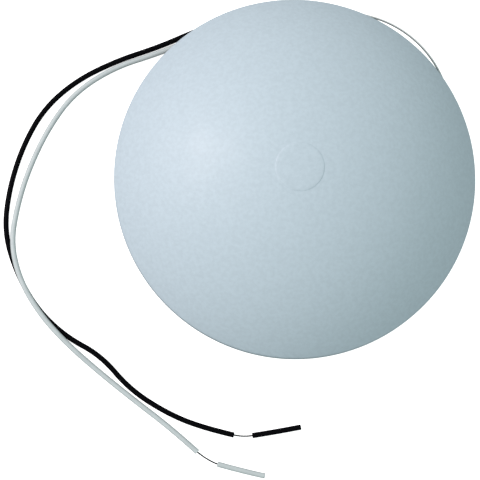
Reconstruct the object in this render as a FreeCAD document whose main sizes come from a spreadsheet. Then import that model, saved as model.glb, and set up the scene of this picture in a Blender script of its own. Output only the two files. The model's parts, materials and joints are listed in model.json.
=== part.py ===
import FreeCAD, Part
import math
import os
import re
import Sketcher

# Compact radar dome antenna: a spherical-cap radome on a round base tray, with a slowly turning
# scanner inside and two hook-up leads.  Millimetres and degrees.  +Z is the dome's axis, the
# origin is the centre of the mounting face, and the two leads leave towards -X near the +Y edge.

doc = FreeCAD.newDocument("RadarDome")

# ---------------------------------------------------------------- driving dimensions

SIZES = [
    # radome
    ("rim_radius", 76.0, "outer radius of the radome's rim"),
    ("rim_height", 20.0, "height of the rim plane over the mounting face"),
    ("dome_rise", 35.7, "height of the dome over the rim plane"),
    ("dome_wall", 2.5, "wall of the dome"),
    ("rim_round", 2.0, "rounding of the rim's edge"),
    ("skirt_drop", 5.0, "skirt below the rim plane"),
    ("skirt_wall", 2.2, "wall of the skirt"),
    ("radome_flange", 3.0, "thickness of the radome's inner flange"),
    ("crown_radius", 10.0, "radius of the flat disc at the crown"),
    ("crown_step", 0.15, "height of the crown disc over the dome"),
    ("boss_radius", 3.2, "screw boss in the radome"),
    ("boss_depth", 4.0, "depth of the screw hole in a radome boss"),
    ("boss_cap", 1.0, "boss over the end of its screw hole"),
    # base tray
    ("gasket_thick", 1.0, "deck gasket"),
    ("gasket_band", 16.0, "radial width of the deck gasket"),
    ("gasket_inset", 1.0, "deck gasket's edge inside the tray's wall"),
    ("tray_floor", 3.0, "floor of the tray"),
    ("tray_wall", 3.0, "side wall of the tray"),
    ("tray_flange", 3.0, "thickness of the tray's flange"),
    ("flange_reach", 6.6, "flange outside the tray's wall"),
    ("skirt_gap", 0.2, "gap between the flange and the skirt"),
    ("seal_section", 0.9, "section radius of the radome's O-ring"),
    ("seal_inset", 0.8, "O-ring's circle inside the tray's outer radius"),
    ("loop_radius", 45.0, "radius of the lanyard loop's outer edge"),
    ("loop_reach", 3.4, "how far the lanyard loop stands out of the rim"),
    ("loop_bar", 0.5, "width of the lanyard loop's bar"),
    ("loop_azimuth", 51.0, "direction of the lanyard loop"),
    ("loop_thick", 2.6, "thickness of the lanyard loop"),
    ("loop_gap", 0.6, "gap between the lanyard loop and the skirt"),
    ("insert_circle", 45.0, "radius of the circle of mounting inserts"),
    ("insert_bore", 2.0, "bore of a mounting insert"),
    ("insert_radius", 3.2, "outer radius of a mounting insert"),
    ("insert_length", 8.0, "length of a mounting insert"),
    ("insert_wall", 1.8, "wall of the boss round an insert"),
    ("insert_cap", 2.0, "boss over the end of an insert"),
    ("post_radius", 2.4, "post under the power board"),
    ("post_inset", 3.0, "posts inside the power board's edges"),
    ("blind_floor", 0.6, "plastic left under a blind screw hole"),
    # fasteners
    ("screw_radius", 1.5, "M3 screw"),
    ("screw_head", 2.75, "head radius of an M3 screw"),
    ("screw_head_high", 1.8, "head height of an M3 screw"),
    ("small_screw", 1.25, "M2.5 screw"),
    ("small_head", 2.25, "head radius of an M2.5 screw"),
    ("small_head_high", 1.4, "head height of an M2.5 screw"),
    ("hole_gap", 0.2, "radial clearance of a screw hole"),
    ("head_room", 0.6, "radial room round a screw head in a counterbore"),
    ("tip_gap", 0.4, "gap between a screw's tip and the end of its hole"),
    # lead outlet
    ("lead_radius", 1.15, "outer radius of a lead"),
    ("wire_radius", 0.33, "radius of a lead's bare strands"),
    ("exit_face", 21.0, "distance of the outlet's face from the centre line"),
    ("exit_width", 21.0, "width of the outlet's housing"),
    ("exit_wall", 3.0, "wall of the outlet's housing"),
    ("exit_depth", 9.0, "outlet's housing inside the tray's outer face"),
    ("exit_roof", 1.5, "roof of the outlet's housing"),
    ("grommet_room", 0.1, "room round the grommet's inner flange"),
    ("grommet_neck", 2.9, "radius of the grommet in its wall"),
    ("grommet_flange", 3.3, "radius of the grommet's flanges"),
    ("grommet_lip", 1.2, "thickness of a grommet flange"),
    ("lead_web", 0.4, "rubber between the two leads in the grommet"),
    ("lead_lift", 0.5, "rubber under the two leads in the grommet"),
    ("clamp_line", 51.0, "distance of the lead clamp from the centre"),
    ("clamp_depth", 4.0, "lead clamp along the leads"),
    ("clamp_high", 3.8, "height of the lead clamp"),
    ("clamp_web", 2.6, "centre of a clamp screw outside a lead"),
    ("clamp_edge", 2.6, "lead clamp outside the centre of its screws"),
    ("clamp_lead_out", 3.6, "straight lead behind the clamp"),
    ("inner_bend", 4.5, "corner of the inner leads"),
    ("block_lead_in", 4.4, "straight lead before the terminal block"),
    ("black_lane", 4.5, "inner black lead's distance from the centre line"),
    ("lane_pitch", 2.6, "spacing of the two inner leads"),
    ("vent_radius", 4.0, "stem of the breather vent"),
    ("vent_recess", 0.2, "breather vent's outer face over the mounting face"),
    ("vent_rim", 2.0, "wall round the vent's stem"),
    ("vent_raise", 1.0, "height of that wall over the floor"),
    ("vent_cap", 1.5, "vent's cap outside its stem"),
    ("vent_cap_thick", 1.2, "thickness of the vent's cap"),
    ("vent_slot", 0.7, "width of a slot in the vent"),
    ("vent_slot_pitch", 1.6, "spacing of the vent's slots"),
    ("vent_slot_half", 2.8, "half length of a vent slot"),
    ("vent_slot_deep", 1.0, "depth of a vent slot"),
    ("vent_offset", 25.0, "distance of the breather vent from the centre"),
    ("vent_azimuth", 205.0, "direction of the breather vent"),
    ("screw_azimuth", 0.0, "direction of the first radome screw"),
    ("standoff_azimuth", 20.0, "direction of the first chassis standoff"),
    # chassis
    ("standoff_high", 10.0, "chassis standoff"),
    ("standoff_radius", 3.5, "radius of a chassis standoff"),
    ("standoff_inset", 10.0, "standoffs' circle inside the tray's inner wall"),
    ("plate_thick", 2.0, "chassis plate"),
    ("plate_gap", 6.0, "gap between the chassis plate and the tray's wall"),
    # spindle and bearings
    ("spindle_radius", 5.0, "spindle"),
    ("spindle_bore", 2.5, "wire passage in the spindle"),
    ("spindle_flange", 12.0, "radius of the spindle's flange"),
    ("spindle_foot", 2.0, "thickness of the spindle's flange"),
    ("spindle_screws_at", 9.0, "radius of the circle of spindle screws"),
    ("shoulder_high", 1.0, "bearing shoulder over the flange"),
    ("shoulder_step", 1.0, "bearing shoulder outside the spindle"),
    ("bearing_outer", 9.5, "outer radius of a bearing"),
    ("bearing_wide", 5.0, "width of a bearing"),
    ("bearing_space", 3.0, "distance between the two bearings"),
    ("race_wall", 1.2, "wall of a bearing race beside its groove"),
    ("ball_radius", 1.4, "bearing ball"),
    ("ball_gap", 0.05, "clearance of a ball in its grooves"),
    ("cage_wall", 0.8, "radial thickness of a ball cage"),
    ("cage_high", 3.6, "height of a ball cage"),
    ("ring_thick", 0.8, "retaining ring"),
    ("ring_groove", 0.5, "depth of the retaining ring's groove"),
    ("ring_wide", 1.2, "retaining ring outside the spindle"),
    ("ring_opening", 1.2, "half width of the retaining ring's opening"),
    ("spindle_end", 1.2, "spindle over the retaining ring"),
    # scanner
    ("hub_radius", 13.0, "radius of the rotor hub"),
    ("hub_flange", 18.0, "radius of the rotor hub's flange"),
    ("hub_flange_thick", 2.4, "thickness of the hub's flange"),
    ("hub_lift", 0.8, "hub's lower face over the spindle's flange"),
    ("hub_cover", 0.2, "hub over the retaining ring"),
    ("gear_module", 0.8, "module of the drive gear and the pinion"),
    ("gear_thick", 3.8, "width of the drive gear"),
    ("gear_screws_at", 15.5, "radius of the circle of gear screws"),
    ("gear_thread", 2.8, "depth of the screw holes in the gear"),
    ("gear_window", 2.4, "radius of a lightening hole in the gear"),
    ("yoke_thick", 1.5, "sheet of the scanner yoke"),
    ("yoke_half", 20.0, "half width of the yoke's upright"),
    ("upright_high", 10.0, "height of the yoke's upright"),
    ("yoke_ring", 1.0, "yoke's ring outside the hub's flange"),
    ("array_inset", 3.0, "array screws inside the upright's edges"),
    ("array_tip", 0.6, "array screws behind the upright"),
    ("array_half", 42.0, "half width of the array board"),
    ("array_thick", 1.6, "array board"),
    ("array_face", 18.5, "yoke upright's distance from the axis"),
    ("sweep_gap", 2.5, "gap between the turning scanner and the dome"),
    ("patch_size", 6.0, "side of an array patch"),
    ("patch_pitch", 9.5, "spacing of the array patches"),
    ("patch_thick", 0.2, "copper of a patch"),
    ("can_depth", 4.0, "depth of a shield can"),
    ("can_gap", 2.0, "gap between a shield can and the upright"),
    ("can_edge", 3.0, "board outside a shield can"),
    ("can_lift", 1.0, "shield can over the yoke"),
    ("weight_half", 9.0, "half width of the counterweight"),
    ("weight_depth", 9.0, "counterweight, front to back"),
    ("weight_high", 7.5, "height of the counterweight"),
    ("weight_front", 21.0, "counterweight's distance from the axis"),
    ("weight_thread", 5.0, "depth of the counterweight's screw hole"),
    ("magnet_radius", 1.5, "index magnet"),
    ("magnet_high", 2.0, "height of the index magnet"),
    ("magnet_at", 24.0, "index magnet's distance from the axis"),
    ("slip_radius", 3.2, "core of the slip ring"),
    ("slip_high", 7.0, "height of the slip ring's core"),
    ("band_thick", 0.3, "contact band of the slip ring"),
    ("slip_peg", 3.0, "slip ring's peg in the spindle"),
    ("band_wide", 1.0, "width of a contact band"),
    ("band_pitch", 2.0, "spacing of the contact bands"),
    ("brush_gap", 0.05, "gap between a brush and its band"),
    ("brush_clear", 0.5, "gap between the spindle and the brush block"),
    ("brush_half", 0.4, "half width of a brush"),
    ("brush_inset", 0.2, "brush inside its band's edges"),
    ("holder_half", 4.0, "half width of the brush block"),
    ("holder_inset", 0.8, "brush block inside the hub's edge"),
    # drive motor and boards
    ("motor_radius", 12.0, "radius of the motor"),
    ("motor_high", 9.2, "height of the motor"),
    ("motor_boss", 4.0, "radius of the motor's centring boss"),
    ("motor_boss_high", 1.5, "height of the motor's centring boss"),
    ("shaft_radius", 1.0, "motor shaft"),
    ("shaft_gap", 0.05, "radial clearance of the motor's shaft and boss"),
    ("shaft_end_gap", 0.2, "gap under the lower end of the shaft"),
    ("shaft_over", 0.6, "shaft above the pinion"),
    ("motor_back", 2.0, "end cover of the motor"),
    ("motor_thread", 2.4, "depth of the screw holes in the motor"),
    ("pinion_lift", 1.7, "pinion's lower face over the chassis plate"),
    ("pinion_thick", 5.4, "width of the pinion"),
    ("board_thick", 1.6, "circuit board"),
    ("board_lift", 2.0, "board standoff"),
    ("board_half", 24.0, "half width of the power board"),
    ("board_front", 4.0, "near edge of the power board"),
    ("board_back", 36.0, "far edge of the power board"),
    ("link_half", 16.0, "half width of the radio link board"),
    ("link_front", 33.0, "near edge of the radio link board"),
    ("link_back", 49.0, "far edge of the radio link board"),
    ("link_inset", 3.0, "link board's screws inside its edges"),
    ("spacer_radius", 2.2, "spacer under the radio link board"),
    ("module_half", 7.0, "half width of the radio module"),
    ("module_inset", 4.0, "radio module inside the link board's edges"),
    ("module_high", 2.0, "height of the radio module"),
    ("terminal_edge", 3.0, "terminal block outside the middle of a lead"),
    ("terminal_setback", 1.0, "terminal block inside the power board's edge"),
    ("terminal_deep", 8.0, "terminal block along the leads"),
    ("terminal_high", 5.4, "height of the terminal block"),
    ("terminal_screw", 1.1, "radius of a terminal screw's well"),
    ("terminal_well", 1.8, "depth of a terminal screw's well"),
    ("terminal_lift", 0.8, "terminal block under the lead entry"),
    ("power_row", 14.0, "power components behind the board's near edge"),
    ("coil_radius", 4.5, "power coil"),
    ("coil_bore", 1.6, "hole in the power coil"),
    ("coil_high", 4.2, "height of the power coil"),
    ("coil_at", 8.0, "power coil's distance from the centre line"),
    ("capacitor_radius", 3.2, "capacitor"),
    ("capacitor_high", 5.0, "height of a capacitor"),
    ("capacitor_at", 6.0, "nearer capacitor's distance from the centre line"),
    ("capacitor_pitch", 8.0, "spacing of the capacitors"),
    ("sensor_half", 4.0, "half width and half length of the index sensor's board"),
    ("sensor_thick", 1.0, "index sensor's board"),
    ("chip_half", 1.2, "half side of the index sensor's chip"),
    ("chip_high", 0.8, "height of the index sensor's chip"),
]

# what follows from them
DERIVED = [
    ("dome_radius", "(rim_radius^2 + dome_rise^2) / (2 * dome_rise)", "sphere of the dome"),
    ("apex", "rim_height + dome_rise", "top of the dome"),
    ("dome_centre", "apex - dome_radius", "centre of the dome's sphere"),
    ("joint_plane", "rim_height - radome_flange", "plane where radome and tray meet"),
    ("skirt_bottom", "rim_height - skirt_drop", "lower edge of the skirt"),
    ("skirt_inner", "rim_radius - skirt_wall", "inside of the skirt"),
    ("flange_radius", "skirt_inner - skirt_gap", "tray's flange"),
    ("flange_bottom", "joint_plane - tray_flange", "underside of the tray's flange"),
    ("tray_radius", "flange_radius - flange_reach", "outside of the tray's wall"),
    ("tray_inner", "tray_radius - tray_wall", "inside of the tray's wall"),
    ("floor_top", "gasket_thick + tray_floor", "upper face of the tray's floor"),
    ("screw_circle", "(tray_radius + flange_radius + hole_gap) / 2", "radome screws"),
    ("boss_top", "joint_plane + boss_depth + boss_cap", "top of a radome boss"),
    ("seal_circle", "tray_radius - seal_inset", "O-ring"),
    ("gasket_outer", "tray_radius - gasket_inset", "outside of the deck gasket"),
    ("gasket_inner", "gasket_outer - gasket_band", "inside of the deck gasket"),
    ("loop_offset", "rim_radius + loop_reach - loop_radius", "centre of the loop's arc"),
    ("loop_top", "skirt_bottom - loop_gap", "top of the lanyard loop"),
    ("loop_bottom", "loop_top - loop_thick", "underside of the lanyard loop"),
    ("insert_boss", "insert_radius + insert_wall", "boss round an insert"),
    ("insert_top", "gasket_thick + insert_length", "top of an insert"),
    ("lead_level", "floor_top + lead_lift + lead_radius", "axis of the leads in the grommet"),
    ("lead_pitch", "2 * lead_radius + lead_web", "spacing of the leads in the grommet"),
    ("exit_ceiling", "flange_bottom - exit_roof", "ceiling of the outlet's housing"),
    ("blind_end", "gasket_thick + blind_floor", "end of a blind hole in the tray's floor"),
    ("blind_tip", "blind_end + tip_gap", "tip of a screw in a blind hole"),
    ("plate_bottom", "floor_top + standoff_high", "underside of the chassis plate"),
    ("plate_top", "plate_bottom + plate_thick", "upper face of the chassis plate"),
    ("plate_radius", "tray_inner - plate_gap", "chassis plate"),
    ("standoff_circle", "tray_inner - standoff_inset", "chassis standoffs"),
    ("foot_top", "plate_top + spindle_foot", "upper face of the spindle's flange"),
    ("shoulder_radius", "spindle_radius + shoulder_step", "radius of the bearing shoulder"),
    ("lower_seat", "foot_top + shoulder_high", "underside of the lower bearing"),
    ("upper_seat", "lower_seat + bearing_wide + bearing_space", "underside of the upper bearing"),
    ("ring_seat", "upper_seat + bearing_wide", "underside of the retaining ring"),
    ("spindle_top", "ring_seat + ring_thick + spindle_end", "top of the spindle"),
    ("hub_bottom", "foot_top + hub_lift", "underside of the hub"),
    ("gear_bottom", "foot_top + hub_lift", "underside of the drive gear"),
    ("gear_top", "gear_bottom + gear_thick", "seat of the hub's flange"),
    ("yoke_bottom", "gear_top + hub_flange_thick", "underside of the yoke"),
    ("yoke_top", "yoke_bottom + yoke_thick", "upper face of the yoke's sheet"),
    ("hub_top", "ring_seat + ring_thick + hub_cover", "top of the hub"),
    ("ball_circle", "(spindle_radius + bearing_outer) / 2", "circle of bearing balls"),
    ("array_back", "array_face + yoke_thick", "rear face of the array board"),
    ("array_front", "array_back + array_thick", "front face of the array board"),
    ("array_reach", "sqrt(array_half^2 + array_front^2)", "swept radius of the array board"),
    ("dome_inner", "dome_radius - dome_wall", "sphere inside the dome"),
    ("array_top", "dome_centre + sqrt(dome_inner^2 - array_reach^2) - sweep_gap", "array's top"),
    ("patch_row", "yoke_top + (array_top - yoke_top) / 2", "middle height of the array"),
    ("board_bottom", "floor_top + board_lift", "underside of the power board"),
    ("board_top", "board_bottom + board_thick", "upper face of the power board"),
    ("link_bottom", "plate_top + board_lift", "underside of the radio link board"),
    ("link_top", "link_bottom + board_thick", "upper face of the radio link board"),
    ("terminal_level", "board_top + lead_radius + terminal_lift", "lead entry of the terminal block"),
    ("brush_wall", "spindle_radius + brush_clear", "inner face of the brush block"),
    ("pinion_bottom", "plate_top + pinion_lift", "underside of the pinion"),
    ("motor_bottom", "plate_bottom - motor_high", "underside of the motor"),
    ("array_screw_x", "yoke_half - array_inset", "array screws beside the centre line"),
    ("array_screw_z", "yoke_top + upright_high - array_inset", "height of the array screws"),
    ("gear_tip", "gear_top - gear_thread + tip_gap", "tip of a screw in the gear"),
]

GEAR_TEETH = 72
PINION_TEETH = 18
PRESSURE_ANGLE = math.radians(20)
TOOTH_BACKLASH = 0.12
RADOME_SCREWS = 6
MOUNTING_INSERTS = 4
STANDOFFS = 4
SPINDLE_SCREWS = 3
BALLS = 9
SLIP_BANDS = 3
SOCKET_ACROSS = 0.85    # a screw's socket against its shank
SOCKET_DEEP = 0.6       # and against the height of its head
PATCH_COLUMNS = 9

sheet = doc.addObject("Spreadsheet::Sheet", "Sizes")
for row, (alias, content, meaning) in enumerate(SIZES + DERIVED, start=1):
    sheet.set("A%d" % row, meaning)
    sheet.set("B%d" % row, "=" + content if isinstance(content, str) else str(content))
    sheet.setAlias("B%d" % row, alias)
doc.recompute()

ALIASES = {alias for alias, content, meaning in SIZES + DERIVED}
NODES = []


def size(alias):
    """The number in the sheet's cell with this alias."""
    return float(sheet.get(alias))


def bound(expression):
    """The expression with the sheet's name before each alias, as objects outside the sheet need."""
    return re.sub("[a-z_]+", lambda word: ("Sizes." if word.group() in ALIASES else "") + word.group(),
                  str(expression))


def number(expression):
    """What an expression comes to now."""
    return float(sheet.evalExpression(bound(expression)))


def bind(item, **properties):
    """Bind an object's properties to expressions."""
    for name, expression in properties.items():
        item.setExpression(name, bound(expression))
    return item


def place(item, x=0, y=0, z=0):
    """Bind the place of an object."""
    for axis, expression in zip("xyz", (x, y, z)):
        item.setExpression("Placement.Base." + axis, bound(expression))
    return item


def named(item, label):
    """Make an object one of the sub-parts."""
    item.Label = label
    NODES.append(item)
    return item


# ---------------------------------------------------------------- solids bound to the sheet


def block(low, high):
    """A box between two corners."""
    spans = ["(%s) - (%s)" % (far, near) for near, far in zip(low, high)]
    item = doc.addObject("Part::Box", "Block")
    bind(item, Length=spans[0], Width=spans[1], Height=spans[2])
    return place(item, *low)


def rod(radius, bottom, top, x=0, y=0):
    """An upright cylinder."""
    item = doc.addObject("Part::Cylinder", "Rod")
    bind(item, Radius=radius, Height="(%s) - (%s)" % (top, bottom))
    return place(item, x, y, bottom)


def lying(item, axis, near, x, y, z):
    """Turn an upright solid so that its axis lies along X or Y, from near on."""
    turn = {"x": FreeCAD.Vector(0, 1, 0), "y": FreeCAD.Vector(-1, 0, 0)}[axis]
    item.Placement = FreeCAD.Placement(FreeCAD.Vector(), FreeCAD.Rotation(turn, 90))
    return place(item, near if axis == "x" else x, near if axis == "y" else y, z)


def bar(radius, axis, near, far, x=0, y=0, z=0):
    """A cylinder along X or Y."""
    item = doc.addObject("Part::Cylinder", "Bar")
    bind(item, Radius=radius, Height="(%s) - (%s)" % (far, near))
    return lying(item, axis, near, x, y, z)


def ball(radius, x, y, z):
    """A sphere."""
    item = doc.addObject("Part::Sphere", "Ball")
    bind(item, Radius=radius)
    return place(item, x, y, z)


def join(*pieces):
    """Several solids as one."""
    item = doc.addObject("Part::MultiFuse", "Join")
    item.Shapes = list(pieces)
    item.Refine = True
    return item


def cut(base, *tools):
    """A solid less others."""
    item = doc.addObject("Part::Cut", "Cut")
    item.Base = base
    item.Tool = tools[0] if len(tools) == 1 else group(*tools)
    return item


def shared(first, second):
    """What two solids have in common."""
    item = doc.addObject("Part::Common", "Shared")
    item.Base = first
    item.Tool = second
    return item


def group(*pieces):
    """Separate solids in one object."""
    item = doc.addObject("Part::Compound", "Group")
    item.Links = list(pieces)
    return item


def around(count, radius, first=0):
    """Places on a circle, as pairs of expressions; first is an angle in degrees."""
    angles = ["(%s + %g) * 1 deg" % (first, 360 * step / count) for step in range(count)]
    return [("(%s) * cos(%s)" % (radius, angle), "(%s) * sin(%s)" % (radius, angle))
            for angle in angles]


def towards(distance, azimuth):
    """A place at a distance from the axis, as a pair of expressions; azimuth is in degrees."""
    return "(%s) * cos(%s * 1 deg)" % (distance, azimuth), "(%s) * sin(%s * 1 deg)" % (distance, azimuth)


def origin_plane(body, role):
    """One of a body's own origin planes."""
    return [feature for feature in body.Origin.OriginFeatures if feature.Role == role][0]


def sketch_in(body, role):
    """A new sketch on an origin plane of its body."""
    sketch = body.newObject("Sketcher::SketchObject", "Sketch")
    sketch.AttachmentSupport = [(origin_plane(body, role), "")]
    sketch.MapMode = "FlatFace"
    return sketch


def dimension(sketch, kind, edge, point, expression):
    """A bound distance of a sketch point from the origin."""
    start = number(expression)
    index = sketch.addConstraint(Sketcher.Constraint(kind, -1, 1, edge, point, start))
    sketch.setExpression("Constraints[%d]" % index, bound(expression))


def turned(outline, lift="0"):
    """A body turned round its Z axis from (radius, height) corners."""
    body = doc.addObject("PartDesign::Body", "Turned")
    sketch = sketch_in(body, "XZ_Plane")
    corners = [FreeCAD.Vector(number(radius), number(height), 0) for radius, height in outline]
    count = len(corners)
    for step in range(count):
        sketch.addGeometry(Part.LineSegment(corners[step], corners[(step + 1) % count]), False)
    for step, (radius, height) in enumerate(outline):
        sketch.addConstraint(Sketcher.Constraint("Coincident", step, 2, (step + 1) % count, 1))
        dimension(sketch, "DistanceX", step, 1, radius)
        dimension(sketch, "DistanceY", step, 1, height)
    turn = body.newObject("PartDesign::Revolution", "Turn")
    turn.Profile = sketch
    turn.ReferenceAxis = (sketch, ["V_Axis"])
    turn.Angle = 360
    return place(body, z=lift)


def plate(radii, thickness, lift="0"):
    """A flat disc or ring padded from concentric circles."""
    body = doc.addObject("PartDesign::Body", "Plate")
    sketch = sketch_in(body, "XY_Plane")
    for radius in radii:
        circle = Part.Circle(FreeCAD.Vector(), FreeCAD.Vector(0, 0, 1), number(radius))
        edge = sketch.addGeometry(circle, False)
        sketch.addConstraint(Sketcher.Constraint("Coincident", edge, 3, -1, 1))
        index = sketch.addConstraint(Sketcher.Constraint("Radius", edge, number(radius)))
        sketch.setExpression("Constraints[%d]" % index, bound(radius))
    pad = body.newObject("PartDesign::Pad", "Pad")
    pad.Profile = sketch
    bind(pad, Length=thickness)
    return place(body, z=lift)


def drill(body, radius, circle, count, first=0):
    """A circle of through holes in a padded plate, as a pocket in a polar pattern."""
    doc.recompute()
    volume = body.Shape.Volume
    sketch = sketch_in(body, "XY_Plane")
    x, y = around(count, circle, first)[0]
    centre = FreeCAD.Vector(number(x), number(y), 0)
    edge = sketch.addGeometry(Part.Circle(centre, FreeCAD.Vector(0, 0, 1), number(radius)), False)
    index = sketch.addConstraint(Sketcher.Constraint("Radius", edge, number(radius)))
    sketch.setExpression("Constraints[%d]" % index, bound(radius))
    dimension(sketch, "DistanceX", edge, 3, x)
    dimension(sketch, "DistanceY", edge, 3, y)
    pocket = body.newObject("PartDesign::Pocket", "Pocket")
    pocket.Profile = sketch
    pocket.Type = "ThroughAll"
    pocket.Reversed = True
    pattern = body.newObject("PartDesign::PolarPattern", "Pattern")
    pattern.Originals = [pocket]
    pattern.Axis = (sketch, ["N_Axis"])
    pattern.Angle = 360
    pattern.Occurrences = count
    body.Tip = pattern
    doc.recompute()
    if not body.Shape.Volume < volume:
        raise ValueError("drilled holes cut nothing")
    return body


def screw(x, y, seat, tip, radius="screw_radius", head="screw_head", high="screw_head_high",
          upward=False):
    """A socket screw whose head bears on a plane; it points down, or up if upward is True."""
    face = "(%s) %s %s" % (seat, "-" if upward else "+", high)
    cap = rod(head, *((face, seat) if upward else (seat, face)), x, y)
    shank = rod(radius, *((seat, tip) if upward else (tip, seat)), x, y)
    socket = doc.addObject("Part::Prism", "Socket")
    socket.Polygon = 6
    bind(socket, Circumradius="%s * %g" % (radius, SOCKET_ACROSS), Height="%s * %g" % (high, SOCKET_DEEP))
    place(socket, x, y, face if upward else "(%s) - %s * %g" % (face, high, SOCKET_DEEP))
    return cut(join(cap, shank), socket)


def small_screw(x, y, seat, tip, upward=False):
    """An M2.5 socket screw."""
    return screw(x, y, seat, tip, "small_screw", "small_head", "small_head_high", upward)


# ---------------------------------------------------------------- radome

SCREW_PLACES = around(RADOME_SCREWS, "screw_circle", "screw_azimuth")


def radome():
    """Spherical cap with a skirt, an inner flange, six screw bosses and a flat crown disc."""
    body = doc.addObject("PartDesign::Body", "DomeShell")
    sketch = sketch_in(body, "XZ_Plane")
    centre = FreeCAD.Vector(0, size("dome_centre"), 0)
    rim_angle = math.asin((size("rim_height") - centre.y) / size("dome_radius"))
    inner_angle = math.asin((size("rim_height") - centre.y) / size("dome_inner"))
    lower = [("rim_radius", "rim_height"), ("rim_radius", "skirt_bottom"),
             ("skirt_inner", "skirt_bottom"), ("skirt_inner", "joint_plane"),
             ("tray_inner", "joint_plane"), ("tray_inner", "rim_height")]
    corners = [FreeCAD.Vector(number(radius), number(height), 0) for radius, height in lower]
    inner_rim = FreeCAD.Vector(size("dome_inner") * math.cos(inner_angle), size("rim_height"), 0)
    crown = [FreeCAD.Vector(0, size("apex") - size("dome_wall"), 0), FreeCAD.Vector(0, size("apex"), 0)]
    corners.append(inner_rim)
    for start, end in zip(corners, corners[1:]):
        sketch.addGeometry(Part.LineSegment(start, end), False)
    last_line = len(corners) - 2
    for radius, angle in (("dome_inner", inner_angle), ("dome_radius", rim_angle)):
        circle = Part.Circle(centre, FreeCAD.Vector(0, 0, 1), size(radius))
        arc = sketch.addGeometry(Part.ArcOfCircle(circle, angle, math.pi / 2), False)
        index = sketch.addConstraint(Sketcher.Constraint("Radius", arc, size(radius)))
        sketch.setExpression("Constraints[%d]" % index, bound(radius))
        sketch.addConstraint(Sketcher.Constraint("PointOnObject", arc, 3, -2))
        sketch.addConstraint(Sketcher.Constraint("PointOnObject", arc, 2, -2))
        dimension(sketch, "DistanceY", arc, 3, "dome_centre")
    inner_arc, outer_arc = last_line + 1, last_line + 2
    axis = sketch.addGeometry(Part.LineSegment(crown[0], crown[1]), False)
    sketch.addConstraint(Sketcher.Constraint("Coincident", axis, 1, inner_arc, 2))
    sketch.addConstraint(Sketcher.Constraint("Coincident", axis, 2, outer_arc, 2))
    sketch.addConstraint(Sketcher.Constraint("Coincident", inner_arc, 1, last_line, 2))
    sketch.addConstraint(Sketcher.Constraint("Coincident", outer_arc, 1, 0, 1))
    dimension(sketch, "DistanceX", 0, 1, lower[0][0])
    for step in range(1, len(lower)):
        sketch.addConstraint(Sketcher.Constraint("Coincident", step - 1, 2, step, 1))
        dimension(sketch, "DistanceX", step, 1, lower[step][0])
        dimension(sketch, "DistanceY", step, 1, lower[step][1])
    dimension(sketch, "DistanceY", last_line, 2, "rim_height")
    turn = body.newObject("PartDesign::Revolution", "Turn")
    turn.Profile = sketch
    turn.ReferenceAxis = (sketch, ["V_Axis"])
    turn.Angle = 360
    doc.recompute()
    rim_edges = ["Edge%d" % (step + 1) for step, edge in enumerate(turn.Shape.Edges)
                 if edge.BoundBox.XMax > size("rim_radius") - 0.01
                 and abs(edge.BoundBox.ZMax - size("rim_height")) < 0.01
                 and abs(edge.BoundBox.ZMin - size("rim_height")) < 0.01]
    lip = body.newObject("PartDesign::Fillet", "RimRound")
    lip.Base = (turn, rim_edges)
    bind(lip, Radius="rim_round")
    bosses = [rod("boss_radius", "joint_plane", "boss_top", x, y) for x, y in SCREW_PLACES]
    holes = [rod("screw_radius", "joint_plane", "joint_plane + boss_depth", x, y)
             for x, y in SCREW_PLACES]
    flat = rod("crown_radius", "apex - dome_wall / 2", "apex + crown_step")
    raised = shared(flat, ball("dome_radius + crown_step", 0, 0, "dome_centre"))
    named(cut(join(body, raised, *bosses), *holes), "radome")


def radome_seal():
    """O-ring in the groove of the tray's flange."""
    ring = doc.addObject("Part::Torus", "Seal")
    bind(ring, Radius1="seal_circle", Radius2="seal_section")
    named(place(ring, z="joint_plane - seal_section"), "radome_seal")
    named(group(*[screw(x, y, "flange_bottom", "joint_plane + boss_depth - tip_gap", upward=True)
                  for x, y in SCREW_PLACES]), "radome_screws")


# ---------------------------------------------------------------- base tray and lead outlet

INSERT_PLACES = around(MOUNTING_INSERTS, "insert_circle", 45)
STANDOFF_PLACES = around(STANDOFFS, "standoff_circle", "standoff_azimuth")
BOARD_POSTS = [("%d * (board_half - post_inset)" % side, line) for line in
               ("board_front + post_inset", "board_back - post_inset") for side in (-1, 1)]
CLAMP_SCREWS = [("-black_lane - lane_pitch - lead_radius - clamp_web", "clamp_line"),
                ("-black_lane + lead_radius + clamp_web", "clamp_line")]
VENT_PLACE = around(1, "vent_offset", "vent_azimuth")[0]


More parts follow.
